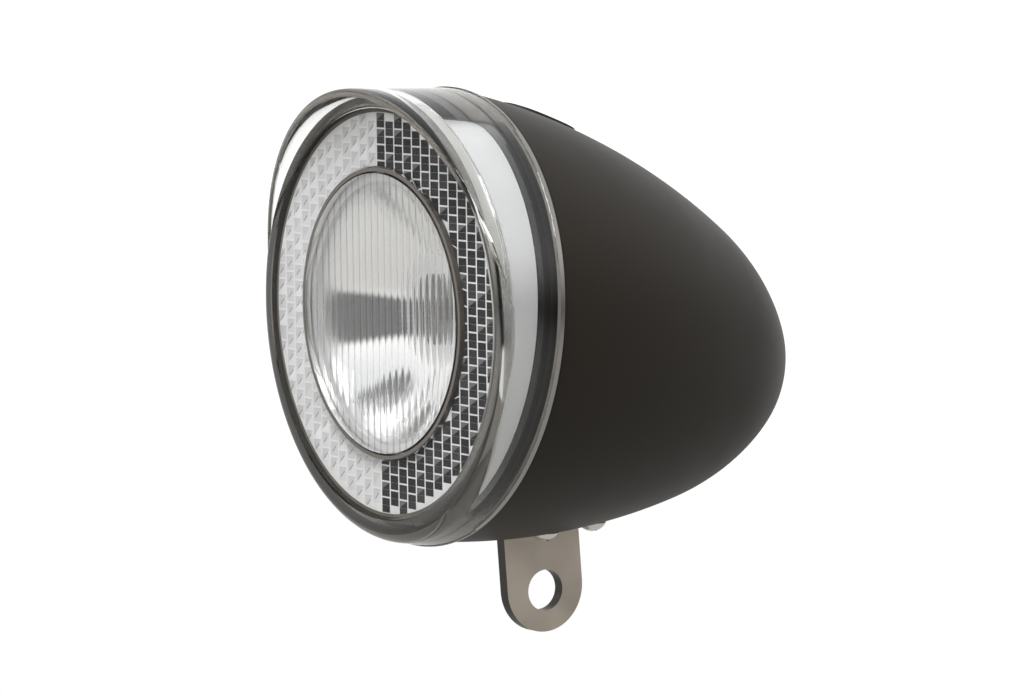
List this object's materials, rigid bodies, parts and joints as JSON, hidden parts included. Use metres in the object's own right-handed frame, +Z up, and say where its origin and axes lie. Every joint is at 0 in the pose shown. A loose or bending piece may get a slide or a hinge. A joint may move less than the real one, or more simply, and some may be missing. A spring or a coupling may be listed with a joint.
{
  "type": "bicycle headlight",
  "caption": "Bullet-shaped bicycle headlight with a clear visor ring, brick-patterned reflex ring, fluted lens, top push button and a flat steel tongue for a bolt.",
  "frame": {"origin": "centre of the bolt hole in the tongue, halfway through the plate", "axes": "+X across the lamp along the bolt, -Y the way the lamp shines, +Z up"},
  "size_m": [0.07, 0.0769, 0.0853],
  "materials": {
    "body_black": "fine satin moulding",
    "tongue_steel": "satin stainless sheet",
    "screw_steel": "bright screw steel",
    "frame_black": "plain black moulding",
    "button_rubber": "matt black rubber",
    "switch_pale": "pale moulding",
    "ring_clear": "clear polished plastic",
    "reflex_clear": "clear plastic with brick-shaped prisms",
    "lens_clear": "clear fluted plastic",
    "gasket_dark": "dark rubber",
    "bowl_bright": "metallised, mirror bright",
    "seal_rubber": "black rubber",
    "led_yellow": "yellow phosphor under a clear dome",
    "board_white": "white solder mask",
    "sink_aluminium": "milled aluminium",
    "board_green": "green solder mask",
    "switch_dark": "dark moulding",
    "cell_sleeve": "plain sleeved cell",
    "contact_metal": "nickel-plated spring steel",
    "wire_red": "insulated lead"
  },
  "bodies": {
    "housing": {"housing_shell": "body_black", "mount_tongue": "tongue_steel", "tongue_screws": "screw_steel", "tongue_nuts": "screw_steel", "button_retainer": "frame_black"},
    "button": {"power_button": "button_rubber"},
    "lens_unit": {"lens_ring": "ring_clear", "reflex_ring": "reflex_clear", "front_lens": "lens_clear", "lens_gasket": "gasket_dark", "reflector_bowl": "bowl_bright", "carrier": "frame_black", "mouth_seal": "seal_rubber", "bowl_screws": "screw_steel", "led_emitter": "led_yellow", "led_board": "board_white", "heat_sink": "sink_aluminium", "led_screws": "screw_steel", "control_board": "board_green", "tact_switch": "switch_dark", "board_screws": "screw_steel", "battery_cradle": "frame_black", "cradle_screws": "screw_steel", "battery_upper": "cell_sleeve", "battery_lower": "cell_sleeve", "battery_rear": "cell_sleeve", "contact_plates": "contact_metal", "contact_springs": "contact_metal", "lead_wires": "wire_red"},
    "plunger": {"switch_plunger": "switch_pale"}
  },
  "joints": [
    {"name": "button_press", "type": "slide", "parent": "housing", "child": "button", "axis": [0, -0.3637, -0.9315], "range_m": [0, 0.001], "stiffness_N_per_m": 400},
    {"name": "lens_unit_pull", "type": "slide", "parent": "housing", "child": "lens_unit", "axis": [0, -0.995, 0.1], "range_m": [0, 0.06]},
    {"name": "switch_press", "type": "slide", "parent": "lens_unit", "child": "plunger", "axis": [0, -0.3637, -0.9315], "range_m": [0, 0.00025]}
  ],
  "couplings": [
    {"joint": "switch_press", "follows": "button_press", "ratio": 0.25}
  ]
}
